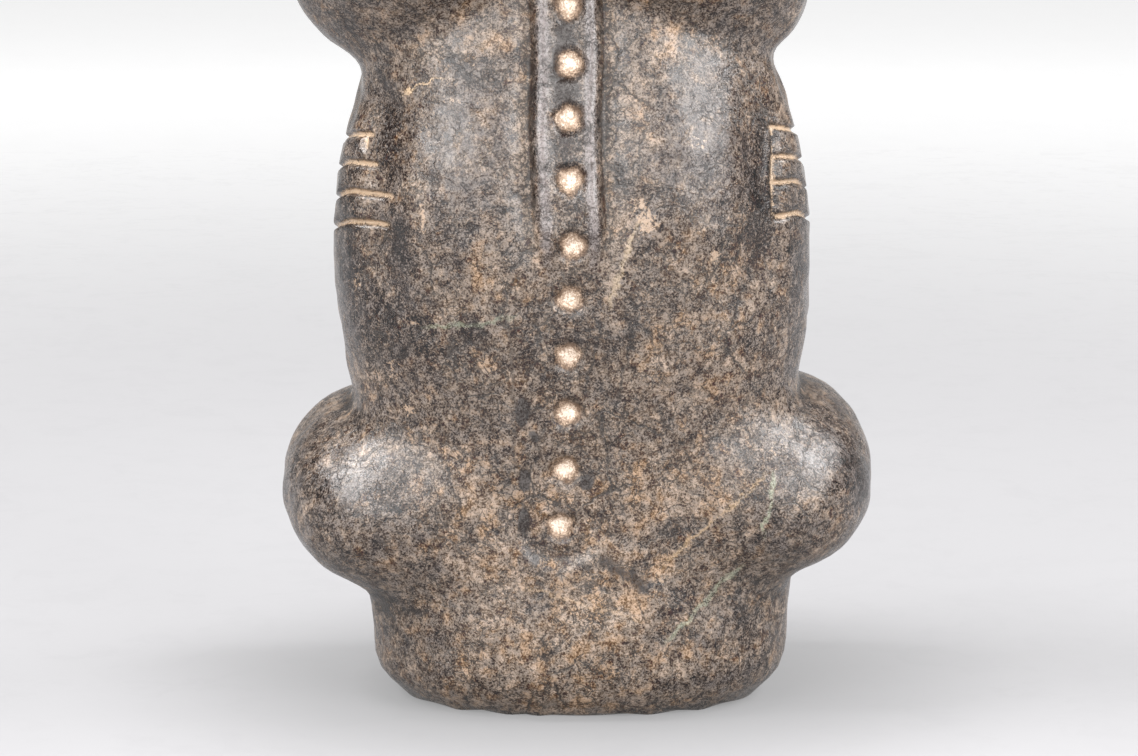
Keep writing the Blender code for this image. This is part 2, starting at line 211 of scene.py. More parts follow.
def bladeForm(x, z):
    (across, height), (halfWidth, halfHeight), rise = bodyShape["blades"]
    return -rise * hump(np.hypot((x - across) / halfWidth, (z - height) / halfHeight), 1)


def wholeForm(x, y, z):
    # negative inside the stone
    x = x - middleLine(z)
    side = np.abs(x)
    drop = legShape["kneeDrop"] * ease(x, -20, 20)
    form = join(bodyForm(x, y, z), legForm(side, y, z, drop), limbJoint + 11 * ease(y, 0, 34))
    form = join(form, armForm(side, y, z), limbJoint)
    form = join(form, headForm(x, y, z), limbJoint)
    ear = join(block(side, y, z, headShape["earSpool"], 2.6, 2.6), block(side, y, z, headShape["earTop"]), fineJoint)
    form = join(form, ear, fineJoint)
    form = join(form, faceForm(side, y, z), fineJoint)
    return form + bladeForm(side, z) * ease(y, 8, 16)


spineCarving = {
    "line": ((30, 2.4), (51, 2.3), (66, 1), (81, 0.3), (96, 0.3), (111, -0.3), (125, -1), (141, -0.3),
             (157, 0.2), (172, -0.3), (187, 0.2), (202, 1.2), (217, 2.2), (240, 3)),  # height, sideways
    # from the middle outwards: a dished panel, its rounded crest and the groove beside it
    "profile": ((0, -0.45), (2.5, -0.3), (4, 0.1), (5, 0.6), (6, 0.85), (7, 0.65), (7.8, 0.1), (8.6, -1), (9.3, -2),
                (10.2, -2.3), (11.5, -1.9), (13.5, -0.9), (16, -0.2), (18, 0), (90, 0)),
    "panelShift": 0.7,                         # the panel lies a little to one side of its pits
    "panelFade": (115, 131),
    "narrowing": 1.6,
    "fadesOut": (224, 234),
    "channelDepth": 2.1,
    "channelWalls": (8.2, 12.6),               # half widths at the foot and at the top of its walls
    "pitHeights": (51.4, 66.2, 81.3, 96.4, 111.3, 125, 141.5, 156.9, 170.3, 184.8, 200, 215.2),
    "pitRadius": 5.2,
    "pitDepth": 2.3,
    "pitCrumbs": 0.34,                         # how far the pecked floors rise and fall
    "crumbScales": (620, 1350),                # crumbs to the metre, coarse and fine
}


def spineWork(x, z):
    # a raised panel between two grooves that fades into a shallow channel lower down
    x = x - curveThrough(z, spineCarving["line"])
    side = np.abs(x)
    raised = ease(z, *spineCarving["panelFade"])
    fromPanel = np.abs(x - spineCarving["panelShift"]) + spineCarving["narrowing"] * (1 - raised)
    panel = -curveThrough(fromPanel, spineCarving["profile"])
    panel = panel * (1 - ease(z, *spineCarving["fadesOut"]))
    walls = 1 - ease(np.hypot(side, 1.2 * np.maximum(50 - z, 0)), *spineCarving["channelWalls"])
    channel = spineCarving["channelDepth"] * (0.8 * walls + 0.2 * hump(x, 8))
    return raised * panel + (1 - raised) * channel


def pitDistance(x, z):
    # how far each place is from the middle of the nearest pit, as a share of that pit's radius
    nearest = 9.0
    middles = curveThrough(np.array(spineCarving["pitHeights"]), spineCarving["line"])
    for number, (height, middle) in enumerate(zip(spineCarving["pitHeights"], middles)):
        across, up = x - middle, z - height
        turn = np.arctan2(up, across)
        uneven = 1 + 0.05 * np.sin(3 * turn + 2.1 * number) + 0.04 * np.sin(5 * turn + 3.7 * number)
        nearest = np.minimum(nearest, np.hypot(across, up) / (spineCarving["pitRadius"] * uneven))
    return nearest


armCuts = {
    "depth": 1.5,
    "halfWidth": 1.35,
    # side, height on the outside, height at the inner end, where the inner end is
    "lines": ((1, 148.5, 151.5, 50.2), (1, 140.7, 144.1, 49), (1, 132.1, 136.5, 45), (1, 124.4, 128.8, 46),
              (-1, 150.3, 153.1, 51.3), (-1, 142.5, 145.8, 52), (-1, 134.8, 139.4, 51.4), (-1, 127, 130.7, 52.6)),
    # side, place, lowest, highest: short upright strokes
    "strokes": ((1, 51.9, 147.2, 151.4), (-1, 52.3, 130.7, 153)),
    "valley": (48, 31),
    "valleyDepth": 2.2,
}


def armLines(x, y, z):
    cut = 0.0
    for side, outer, inner, end in armCuts["lines"]:
        height = outer + (inner - outer) * ease(y, 2, 25) + 0.25 * np.sin(y / 3.1 + outer)
        cut = np.maximum(cut, hump(z - height, armCuts["halfWidth"]) * ease(side * x, end - 1.2, end + 0.8))
    for side, place, low, high in armCuts["strokes"]:
        stroke = hump(side * x - place - 0.2 * np.sin(z / 2.3), 0.8 * armCuts["halfWidth"])
        cut = np.maximum(cut, 0.9 * stroke * between(z, low, high, 0.8) * (y > 5))
    return cut


def valleyWork(x, y, z):
    middle, back = armCuts["valley"]
    along = ease(z, 100, 122) * (1 - ease(z, 158, 170)) * (y > 0)
    return armCuts["valleyDepth"] * hump(np.hypot(np.abs(x) - middle, (y - back) * 0.5), 9) * along


faceCarving = {
    "eyeSpacing": 49,
    "eyeHeight": 212,
    "eyeRadius": 11,
    "eyeDepth": 4.4,
    "browRise": 14.5,
    "mouthHeight": 186,
    "mouthHalfWidth": 25,
    "bandHeights": (232, 242),
    "bandDotStep": 11,
    "nostril": (5, 197, 2.8, 2.4),             # across, height, radius, depth
    "lipLine": (3.4, 2.4),                     # half width, depth
    "navel": (88, 5.5, 2.8),                   # height, radius, depth
}


def faceWork(x, z):
    # round eyes in raised rims under one brow, nostrils, and the line between closed lips
    side = np.abs(x)
    radius, depth = faceCarving["eyeRadius"], faceCarving["eyeDepth"]
    fromEye = np.hypot(side - faceCarving["eyeSpacing"] / 2, z - faceCarving["eyeHeight"])
    socket = depth * (1 - ease(fromEye, radius * 0.7, radius * 1.1))
    eyeball = depth / 2 * hump(fromEye, radius * 0.75)
    rim = depth / 2 * hump(fromEye - radius * 1.25, 4)
    aboveBrow = z - faceCarving["eyeHeight"] - faceCarving["browRise"] + side * side / 160
    brow = 2 * hump(aboveBrow, 5.5) * (1 - ease(side, 30, 42))
    across, height, nostrilRadius, nostrilDepth = faceCarving["nostril"]
    nostrils = nostrilDepth * hump(np.hypot(side - across, z - height), nostrilRadius)
    wide = faceCarving["mouthHalfWidth"]
    halfWidth, lineDepth = faceCarving["lipLine"]
    lipLine = lineDepth * hump(z - faceCarving["mouthHeight"], halfWidth) * (1 - ease(side, wide - 5, wide))
    return socket - eyeball - np.maximum(rim, brow) + nostrils + lipLine


def bandWork(x, z):
    # two lines round the forehead with a row of dots between them
    low, high = faceCarving["bandHeights"]
    lines = 1.2 * hump(z - low, 1.8) + 1.2 * hump(z - high, 1.8)
    dots = 1.4 * hump(np.hypot(toNearest(x, faceCarving["bandDotStep"]), z - (low + high) / 2), 3.2)
    return (lines + dots) * (1 - ease(np.abs(x), 58, 64))


def handAndFootWork(x, z):
    side = np.abs(x)
    onHand = (1 - ease(side, 22, 26)) * ease(side, 4, 6) * ease(z, 104, 107) * (1 - ease(z, 122, 125))
    fingers = 1.2 * hump(toNearest(z - 107.4, armShape["fingerWidth"]), 1.3) * onHand
    onFoot = ease(side, 12, 15) * (1 - ease(side, 40, 43)) * (1 - ease(z, 12, 15))
    toes = 1.4 * hump(toNearest(side - legShape["foot"][0][0], legShape["toeWidth"]), 1.5) * onFoot
    height, radius, depth = faceCarving["navel"]
    return fingers + toes + depth * hump(np.hypot(x, z - height), radius)


# the slow waves that grinding by hand leaves on a polished stone: length, height, direction
grindingWaves = ((31, 0.22, 0.4), (23, 0.18, 1.7), (17, 0.13, 2.9), (12.5, 0.09, 4.3), (9, 0.06, 5.2))


def handFinish(x, y, z):
    wave = 0.0
    for size, height, turn in grindingWaves:
        k = 2 * math.pi / size
        wave = wave + height * np.sin(k * (x * math.cos(turn) + z * math.sin(turn)) + turn * 3) * np.sin(
            k * 0.8 * (y * math.cos(turn * 2) + z * math.cos(turn) - x * math.sin(turn)) + turn * 5
        )
    return wave * ease(z, 2, 10)


def carving(x, y, z):
    # how deep the carving goes at each place; raised work is negative
    centred = x - middleLine(z)
    onBack, onFront = ease(y, 8, 16), ease(-y, 8, 16)
    backWork = spineWork(x, z) + spineCarving["pitDepth"] * (1 - ease(pitDistance(x, z), 0.2, 1))
    frontWork = faceWork(centred, z) + bandWork(centred, z) + handAndFootWork(centred, z)
    middle = headShape["earSpool"][0]
    radius, depth = headShape["spoolPit"]
    spoolPit = depth * hump(np.hypot(y - middle[1], z - middle[2]), radius) * ease(np.abs(centred), 62, 66)
    arms = armCuts["depth"] * armLines(x, y, z) + valleyWork(centred, y, z)
    return onBack * backWork + onFront * frontWork + arms + spoolPit


def surface(x, y, z):
    return np.maximum(wholeForm(x, y, z) + carving(x, y, z) + handFinish(x, y, z), -z)


stoneMesh = {
    "axis": (30, 222),       # the stone is found along rays from an upright axis between these heights
    "longestRay": 112,
    "samples": 56,
    "halvings": 14,
    "roundSide": 56,
    "up": 124,
    "leastCarving": 0.12,
}


def castRays(cube):
    edge = np.max(np.abs(cube[:, :2]), axis=1)
    ring = cube[:, :2] / np.maximum(edge, 1e-9)[:, None]
    angle = np.arctan2(np.tan(ring[:, 1] * math.pi / 4), np.tan(ring[:, 0] * math.pi / 4))
    rise = np.where(edge > 1 - 1e-6, 0.0, (1 - edge) * math.pi / 2) * np.sign(cube[:, 2])
    low, high = stoneMesh["axis"]
    origin = np.zeros_like(cube)
    origin[:, 2] = low + (high - low) * (cube[:, 2] + 1) / 2
    origin[:, 0] = middleLine(origin[:, 2])
    aim = np.stack((np.cos(rise) * np.cos(angle), np.cos(rise) * np.sin(angle), np.sin(rise)), axis=1)
    return origin, aim


def onStone(cube):
    # each point of the start block goes to the stone's outermost surface
    origin, aim = castRays(cube)
    longest = stoneMesh["longestRay"]
    outer, inner = np.full(len(cube), float(longest)), np.zeros(len(cube))
    found = np.zeros(len(cube), bool)
    for reach in np.linspace(longest, 2, stoneMesh["samples"]):
        inside = surface(*(origin + aim * reach).T) < 0
        inner = np.where(inside & ~found, reach, inner)
        found |= inside
        outer = np.where(found, outer, reach)
    for _ in range(stoneMesh["halvings"]):
        half = (outer + inner) / 2
        inside = surface(*(origin + aim * half[:, None]).T) < 0
        inner, outer = np.where(inside, half, inner), np.where(inside, outer, half)
    return origin + aim * ((outer + inner) / 2)[:, None]


def splitCells(mesh, wanted):
    mesh.verts.index_update()
    edges = {e for f in mesh.faces if any(wanted[v.index] for v in f.verts) for e in f.edges}
    bmesh.ops.subdivide_edges(mesh, edges=list(edges), cuts=1, use_grid_fill=True)


def carveStone():
    mesh = bmesh.new()
    bmesh.ops.create_cube(mesh, size=2)
    upright = [e for e in mesh.edges if abs(e.verts[0].co.z - e.verts[1].co.z) > 1]
    level = [e for e in mesh.edges if e not in upright]
    bmesh.ops.subdivide_edges(mesh, edges=level, cuts=stoneMesh["roundSide"] - 1, use_grid_fill=True)
    upright = [e for e in mesh.edges if abs(e.verts[0].co.z - e.verts[1].co.z) > 1]
    bmesh.ops.subdivide_edges(mesh, edges=upright, cuts=stoneMesh["up"] - 1, use_grid_fill=True)
    # finer cells where the stone is carved, and again in the pits and the arm lines
    places = onStone(np.array([v.co for v in mesh.verts], float))
    splitCells(mesh, np.abs(carving(*places.T)) > stoneMesh["leastCarving"])
    places = onStone(np.array([v.co for v in mesh.verts], float))
    x, y, z = places.T
    splitCells(mesh, ((pitDistance(x, z) < 1.1) & (y > 8)) | (armLines(x, y, z) > 0.02))
    places = onStone(np.array([v.co for v in mesh.verts], float))
    for vert, place in zip(mesh.verts, places):
        vert.co = place * mm
    bmesh.ops.triangulate(mesh, faces=[f for f in mesh.faces if len(f.verts) > 4])
    bmesh.ops.recalc_face_normals(mesh, faces=mesh.faces)
    roughenPits(mesh)
    data = bpy.data.meshes.new("carvedStone")
    mesh.to_mesh(data)
    mesh.free()
    stone = bpy.data.objects.new("carvedStone", data)
    bpy.context.scene.collection.objects.link(stone)
    data.shade_smooth()
    return stone


def roughenPits(mesh):
    # the pits were pecked, not ground, so their floors are crystalline and uneven
    mesh.normal_update()
    coarse, fine = spineCarving["crumbScales"]
    for vert in mesh.verts:
        x, y, z = vert.co / mm
        if y > 8 and abs(x) < 14:
            share = float(pitDistance(x, z))
            if share < 0.95:
                crumbs = noise.noise(vert.co * coarse) + 0.6 * noise.noise(vert.co * fine)
                vert.co += vert.normal * crumbs * spineCarving["pitCrumbs"] * mm * (1 - share) ** 0.5


def smoothed(values, ends, counts, rounds):
    for _ in range(rounds):
        total = values.copy()
        for column in range(values.shape[1]):
            total[:, column] += np.bincount(ends[:, 0], values[ends[:, 1], column], len(values))
            total[:, column] += np.bincount(ends[:, 1], values[ends[:, 0], column], len(values))
        values = total / counts[:, None]
    return values


# Where the photographed back is darker, greyer or more earthy than the rest:
# place across, height, half width, half height, how strong
backMarks = {
    "earth": ((-10, 31, 21, 9, 1.0), (-20, 40, 14, 5, 0.7), (0, 6, 64, 34, 0.6), (0, 48, 62, 44, 0.5),
              (24, 58, 10, 26, 0.5), (-30, 95, 26, 26, 0.4), (22, 112, 9, 26, 0.45),
              (-44, 120, 7, 22, 0.6), (-17, 158, 8, 22, 0.3), (21, 176, 12, 7, 0.7),
              (-27, 177, 13, 8, 0.9), (-24, 62, 20, 12, 0.3)),
    # dark: dark crust and stains, and painted shade in the arm valleys, along the spine grooves, on the left wall of
    # the spine channel and on the outer sides of the thighs and arms
    "dark": ((46, 150, 5, 24, 0.9), (43, 124, 5, 14, 0.9), (-50, 142, 6, 30, 1.0), (-48, 128, 6, 20, 0.8),
             (-77, 60, 8, 16, 0.7), (76, 62, 8, 16, 0.6), (44, 101, 17, 15, 0.7), (58, 122, 8, 40, 0.8),
             (-60, 116, 6, 34, 0.6), (-19, 42, 8, 5, 0.8), (25, 100, 7, 12, 0.8),
             (-41, 126, 7, 8, 0.6), (-46, 98, 10, 5, 0.6),
             (11, 50, 5, 13, 0.7), (-8, 56, 7, 10, 0.6), (1, 46, 10, 10, 0.6), (0, 76, 9, 26, 0.3),
             (11, 98, 4, 16, 0.7), (9.6, 160, 2.2, 40, 0.9), (-9, 158, 2.2, 40, 0.9),
             (46, 60, 15, 12, 0.5), (-50, 64, 12, 16, 0.5), (0, 150, 7, 30, 0.75), (-1, 105, 7, 12, 0.5),
             (-28, 31, 8, 6, 0.6), (58, 178, 10, 10, 0.5)),
    # sheen: painted highlights on the shoulder blades, thighs and head; the colour is drawn greyer and evener there,
    # and the finish glossier
    "sheen": ((28, 154, 19, 26, 1.0), (-33, 150, 19, 28, 1.0), (57, 66, 17, 14, 0.8), (-64, 68, 19, 14, 0.8),
              (26, 172, 10, 10, 0.5), (34, 190, 26, 10, 0.5)),
    # bare: stone without its crust, painted shade on the left wall of the spine channel, and smooth bands along the
    # sides of the thighs and arms
    "bareAndShade": ((0.9, 168, 10, 44, 0.85), (12, 82, 4, 9, 1.0), (8.7, 75, 3, 4, 0.9), (11.5, 63.5, 3.5, 7, 1.0),
             (-4.6, 63.3, 4.4, 5.6, 1.0), (6.6, 90.8, 2.8, 3.2, 0.9), (-28.8, 73.6, 4, 2.4, 0.7),
             (11.7, 53, 3.5, 8, 1.0), (9, 43, 5, 4, 0.8), (-17, 40, 4, 4, 0.8), (-21, 36, 3.5, 3, 0.8),
             (4, 69, 4, 3, 0.6), (-79, 60, 7, 16, 0.7), (79, 56, 7, 15, 0.6), (64, 116, 6, 50, 0.7),
             (-64, 112, 6, 50, 0.7), (60, 84, 5, 16, 0.5)),
    "flecks": ((-19.5, 131, 5, 7, 1.0), (-17, 136, 5, 3.5, 0.8), (41, 81, 4, 3, 1.0), (45, 92, 3.5, 5, 0.8),
               (54.5, 114, 2.5, 6, 0.8), (40, 104.5, 3, 2, 1.0), (-33, 151, 3.5, 3.5, 0.7), (-37, 122, 3, 2.5, 0.9),
               (-23, 38, 7, 4, 0.7), (-14, 33, 5, 3, 0.6), (37, 132, 2, 8, 0.7), (20, 94, 4, 4, 0.6),
               (-52, 70, 5, 3, 0.6), (-35, 57, 3, 2, 0.6), (47, 38, 3, 2.5, 0.5), (30, 161, 4, 2.5, 0.4)),
}


def markStone(stone):
    # what the stone's finish is drawn from, painted shade and painted highlights included: pits, cut lines, hollows,
    # crests and the marks on its back
    data = stone.data
    count = len(data.vertices)
    co = np.empty(count * 3)
    data.vertices.foreach_get("co", co)
    co = co.reshape(-1, 3) / mm
    normal = np.empty(count * 3)
    data.vertices.foreach_get("normal", normal)
    normal = normal.reshape(-1, 3)
    ends = np.empty(len(data.edges) * 2, int)
    data.edges.foreach_get("vertices", ends)
    ends = ends.reshape(-1, 2)
    counts = 1.0 + np.bincount(ends.ravel(), minlength=count)
    near = smoothed(co, ends, counts, 5)
    wide = smoothed(near, ends, counts, 40)
    x, y, z = co.T
    marks = {
        "pits": hump(pitDistance(x, z), 0.98) * (y > 8),
        "cuts": armLines(x, y, z),
        "relief": ((near - co) * normal).sum(1) * 1.5,
        "form": ((wide - co) * normal).sum(1) * 0.5,
        "sides": ease(np.abs(normal[:, 0]), 0.5, 0.95) * ease(z, 36, 50),
    }
    fromPanel = np.abs(x - curveThrough(z, spineCarving["line"]) - spineCarving["panelShift"])
    raised = ease(z, *spineCarving["panelFade"]) * (1 - ease(z, *spineCarving["fadesOut"])) * (y > 8)
    marks["crests"] = hump(fromPanel - 6, 2.2) * raised
    marks["grooves"] = hump(fromPanel - 10.2, 3) * raised
    for name, places in backMarks.items():
        total = np.zeros(count)
        for across, height, halfWidth, halfHeight, strength in places:
            total += strength * hump(np.hypot((x - across) / halfWidth, (z - height) / halfHeight), 1)
        marks[name] = np.clip(total * ease(y, 4, 14), 0, 1)
    for name, values in marks.items():
        layer = data.attributes.new(name, "FLOAT", "POINT")
        layer.data.foreach_set("value", values.astype(np.float32))


def addNode(tree, kind, settings=(), links=()):
    # one node: a setting is an input where the node has one of that name or number, else its own option
    node = tree.nodes.new(kind)
    for name, value in dict(settings).items():
        if isinstance(name, int) or name in node.inputs:
            node.inputs[name].default_value = value
        else:
            setattr(node, name, value)
    for name, source in dict(links).items():
        tree.links.new(source, node.inputs[name])
    return node


def fromHex(code):
    parts = [int(code[i:i + 2], 16) / 255 for i in (1, 3, 5)]
    return tuple(c / 12.92 if c < 0.04045 else ((c + 0.055) / 1.055) ** 2.4 for c in parts) + (1,)


def setRamp(node, stops):
    ramp = node.color_ramp
    while len(ramp.elements) > 1:
        ramp.elements.remove(ramp.elements[-1])
    for number, (place, colour) in enumerate(stops):
        element = ramp.elements[0] if number == 0 else ramp.elements.new(place)
        element.position = place
        element.color = fromHex(colour) if isinstance(colour, str) else (colour, colour, colour, 1)
    return node.outputs["Color"]


stoneLook = {
    "patchSize": 24,         # mm: the broad shift between earthy and clean stone
    "mottleSize": 7,         # the mottling, down to single grains
    "speckSize": 2.4,
    "grainSize": 0.5,
    "toneSize": 3,
    "crystalSize": 1.0,
    "crackleSize": 2.6,
    "crackSize": 19,
    "pinholeSize": 2.3,
    "cleanStone": "#413935",
    "earth": "#615346",
    "paleEarth": "#7f6d5e",
    "rust": "#806345",
    # bare stone, also drawn as painted shade on the left wall of the spine channel
    "bareAndShadedStone": "#352f2c",
    # the pale grey of the spine crests is a painted highlight
    "paintedCrestHighlight": "#6f6765",
    # dark soil in cracks and pinholes, and painted shade in the hollows
    "darkSoilAndShade": "#1b1614",
    "pitRing": "#5d4838",
    "pitFill": "#a48d78",
    "pitCream": "#e0d0c0",
    "dust": "#b89f85",
    "polish": 0.2,
    "dull": 0.38,
    "grainDepth": 0.24,
    # thin veins and scratches: from (across, height) to (across, height), half width, strength, colour
    "veins": ((-18, 133, -9.5, 108, 0.55, 0.5, "#a8957c"), (-53, 66, -50, 48, 0.5, 0.55, "#8f9480"),
              (-46, 41, -24, 20, 0.6, 0.5, "#8f9480"), (-20, 27, 14, 36, 0.4, 0.4, "#a88f75"),
              (-22, 39, -52, 66, 0.5, 0.5, "#b39878"), (43, 162, 31, 167.5, 0.35, 0.7, "#c6ab8b"),
              (38, 103, 12, 107, 0.6, 0.4, "#8f9480"), (35, 52, 22, 38, 0.35, 0.4, "#2a2523"),
              (-7, 44, -22, 34, 1.6, 0.9, "#262120"), (-20, 91, -46, 82, 0.4, 0.5, "#231e1c"),
              (16, 113, 13, 62, 0.6, 0.6, "#2a2523")),
}


def polishedStone():
    # dense dark stone ground smooth by hand: glossy where it was rubbed, with pale earth in its pores; its colour
    # also carries painted shade in the hollows, grooves and valleys and painted highlights on the crests and shoulder
    # blades
    look = stoneLook
    material = bpy.data.materials.new("hand-polished dark stone")
    material.use_nodes = True
    tree = material.node_tree
    shader = tree.nodes["Principled BSDF"]
    place = addNode(tree, "ShaderNodeTexCoord").outputs["Object"]

    def grain(size, detail, roughness, shift=0.0):
        # a noise whose largest spots are this many millimetres across
        moved = addNode(tree, "ShaderNodeMapping", {"Location": (shift, 0.7 * shift, 0)}, {"Vector": place})
        settings = {"Scale": 1 / (size * mm), "Detail": detail, "Roughness": roughness}
        return addNode(tree, "ShaderNodeTexNoise", settings, {"Vector": moved.outputs["Vector"]}).outputs["Fac"]

    def mark(name):
        return addNode(tree, "ShaderNodeAttribute", {"attribute_name": name}).outputs["Fac"]

    def sums(terms, start=0.0):
        # start plus each source times its weight
        total = start
        for source, weight in terms:
            node = addNode(tree, "ShaderNodeMath", {"operation": "MULTIPLY_ADD", 1: weight}, {0: source})
            if isinstance(total, float):
                node.inputs[2].default_value = total
            else:
                tree.links.new(total, node.inputs[2])
            total = node.outputs[0]
        return total

    def span(source, low, high, to=(0.0, 1.0)):
        settings = {"interpolation_type": "SMOOTHSTEP", "From Min": low, "From Max": high}
        settings.update({"To Min": to[0], "To Max": to[1]})
        return addNode(tree, "ShaderNodeMapRange", settings, {"Value": source}).outputs["Result"]

    def times(first, second):
        return addNode(tree, "ShaderNodeMath", {"operation": "MULTIPLY"}, {0: first, 1: second}).outputs[0]

    def blend(share, first, second, kind="MIX"):
        node = addNode(tree, "ShaderNodeMix", {"data_type": "RGBA", "blend_type": kind})
        for socket, source in ((0, share), (6, first), (7, second)):
            if isinstance(source, str):
                source = fromHex(source)
            if isinstance(source, (float, tuple)):
                node.inputs[socket].default_value = source
            else:
                tree.links.new(source, node.inputs[socket])
        return node.outputs[2]

    patches = grain(look["patchSize"], 4, 0.6)
    mottle = grain(look["mottleSize"], 4, 0.6, 1)
    specks = grain(look["speckSize"], 3, 0.6, 2)
    grains = grain(look["grainSize"], 2, 0.7, 3)
    tones = grain(look["toneSize"], 6, 0.9, 7)
    drift = addNode(tree, "ShaderNodeTexNoise", {"Scale": 210, "Detail": 5, "Roughness": 0.65}, {"Vector": place})
    ragged = addNode(tree, "ShaderNodeVectorMath", {"operation": "MULTIPLY_ADD", 1: (0.006,) * 3},
                     {0: drift.outputs["Color"], 2: place}).outputs[0]

    def cells(size, feature, output="Distance"):
        settings = {"feature": feature, "Scale": 1 / (size * mm)}
        return addNode(tree, "ShaderNodeTexVoronoi", settings, {"Vector": ragged}).outputs[output]

    # clean dark stone, and the earth that sits in its pores. The dark marks add painted shade as well as dark crust,
    # the sheen marks paint the grey of the highlights by taking earth away, and surfaces facing sideways get less
    # earth, so they come out darker.
    dark = times(mark("dark"), span(sums([(mottle, 0.5), (specks, 0.6)]), 0.44, 0.64, (0.35, 1.1)))
    cover = sums([(patches, 0.5), (mottle, 0.9), (specks, 0.9), (grains, 0.15), (mark("earth"), 0.2),
                  (mark("sheen"), -0.28), (dark, -0.24), (mark("sides"), -0.12), (mark("relief"), 0.08),
                  (mark("crests"), -0.4), (mark("grooves"), 0.24)], -1.17)
    share = span(cover, -0.36, 0.36)
    colour = blend(share, look["cleanStone"], look["earth"])
    pale = sums([(tones, 0.5), (mottle, 0.5), (specks, 0.6), (mark("earth"), 0.09)])
    pale = times(span(pale, 0.84, 1.0, (0.0, 0.8)), share)
    colour = blend(pale, colour, look["paleEarth"])
    rust = times(span(sums([(grain(5, 4, 0.6, 8), 1.0), (mark("earth"), 0.12)]), 0.53, 0.7, (0.0, 0.6)), share)
    colour = blend(rust, colour, look["rust"])
    # painted highlight: the crests of the spine panel are drawn in a pale grey where the light catches them
    colour = blend(times(mark("crests"), span(specks, 0.35, 0.5, (0.3, 0.85))), colour, look["paintedCrestHighlight"])

    # where the bare marks lie the stone is drawn dark, smooth and even: where the crust of earth has come away, as
    # painted shade on the left wall of the spine channel, and in bands along the sides of the thighs and arms
    bareAndShade = span(sums([(mark("bareAndShade"), 0.8), (mottle, 0.5), (specks, 0.5), (grains, 0.15)]), 1.02, 1.16)
    colour = blend(bareAndShade, colour, look["bareAndShadedStone"])
    crystals = cells(look["crystalSize"], "F1", "Color")
    tone = sums([(tones, 1.0), (crystals, 0.18), (grains, 0.8), (dark, -0.12), (mark("earth"), 0.02)])
    # the tone is evened on bare stone, and on the crests and sheen marks as part of the painted highlights
    plain = sums([(bareAndShade, 0.5), (mark("crests"), 0.4), (mark("sheen"), 0.3)])
    settings = {"From Min": 0.88, "From Max": 1.1, "To Min": -1.0, "To Max": 1.0}
    uneven = addNode(tree, "ShaderNodeMapRange", settings, {"Value": tone}).outputs["Result"]
    uneven = times(uneven, sums([(plain, -1.0)], 1.0))
    for kind, shading in (("MULTIPLY", sums([(uneven, 0.5)], 1.0)), ("ADD", sums([(uneven, 0.04)]))):
        grey = addNode(tree, "ShaderNodeCombineColor", links={name: shading for name in ("Red", "Green", "Blue")})
        colour = blend(1.0, colour, grey.outputs["Color"], kind)

    # hollows, cracks and pinholes keep their soil; the soil also darkens the deeper hollows and creases as painted
    # shade
    soilAndHollowShade = span(sums([(specks, 0.9), (mottle, 0.8), (grains, 0.5), (dark, -0.2), (mark("form"), -0.015),
                      (mark("relief"), -0.24)]), 0.78, 1.05, (0.85, 0.0))
    crackle = times(span(cells(look["crackleSize"], "DISTANCE_TO_EDGE"), 0.0, 0.1, (0.85, 0.0)),
                    span(sums([(grain(9, 4, 0.6, 6), 1.0), (share, 0.06), (dark, 0.08)]), 0.47, 0.6))
    crack = times(span(cells(look["crackSize"], "DISTANCE_TO_EDGE"), 0.0, 0.03, (1.0, 0.0)),
                  span(sums([(grain(15, 3, 0.6, 6), 1.0), (dark, 0.1)]), 0.48, 0.58, (0.0, 0.85)))
    holes = times(span(cells(look["pinholeSize"], "F1"), 0.1, 0.22, (0.75, 0.0)), span(specks, 0.45, 0.6))
    for hidden in (soilAndHollowShade, crackle, crack, holes):
        colour = blend(hidden, colour, look["darkSoilAndShade"])
    fleck = span(sums([(grain(1.3, 3, 0.7, 5), 1.0), (patches, 0.25), (mark("flecks"), 0.3)]), 0.8, 0.9, (0.0, 0.75))
    colour = blend(fleck, colour, look["pitFill"])

    # veins and scratches on the back, each along its own wandering line
    behind = span(addNode(tree, "ShaderNodeSeparateXYZ", links={0: place}).outputs["Y"], 0.0, 0.01)
    for startX, startZ, endX, endZ, halfWidth, strength, tint in look["veins"]:
        start = Vector((startX + 3, 0, startZ + 3)) * mm
        along = Vector((endX - startX, 0, endZ - startZ)) * mm
        across = Vector((-along.z, 0, along.x)).normalized()
        fromStart = addNode(tree, "ShaderNodeVectorMath", {"operation": "SUBTRACT", 1: start}, {0: ragged}).outputs[0]
        offLine = addNode(tree, "ShaderNodeVectorMath", {"operation": "DOT_PRODUCT", 1: across}, {0: fromStart})
        offLine = addNode(tree, "ShaderNodeMath", {"operation": "ABSOLUTE"}, {0: offLine.outputs["Value"]}).outputs[0]
        way = addNode(tree, "ShaderNodeVectorMath", {"operation": "DOT_PRODUCT", 1: along / along.length_squared},
                      {0: fromStart}).outputs["Value"]
        ends = times(span(way, 0.0, 0.15), span(way, 0.85, 1.0, (1.0, 0.0)))
        near = span(offLine, 0.3 * halfWidth * mm, 1.5 * halfWidth * mm, (strength, 0.0))
        broken = span(sums([(specks, 0.6), (grains, 0.6)]), 0.46, 0.66, (0.15, 1.0))
        colour = blend(times(times(near, ends), times(broken, behind)), colour, tint)

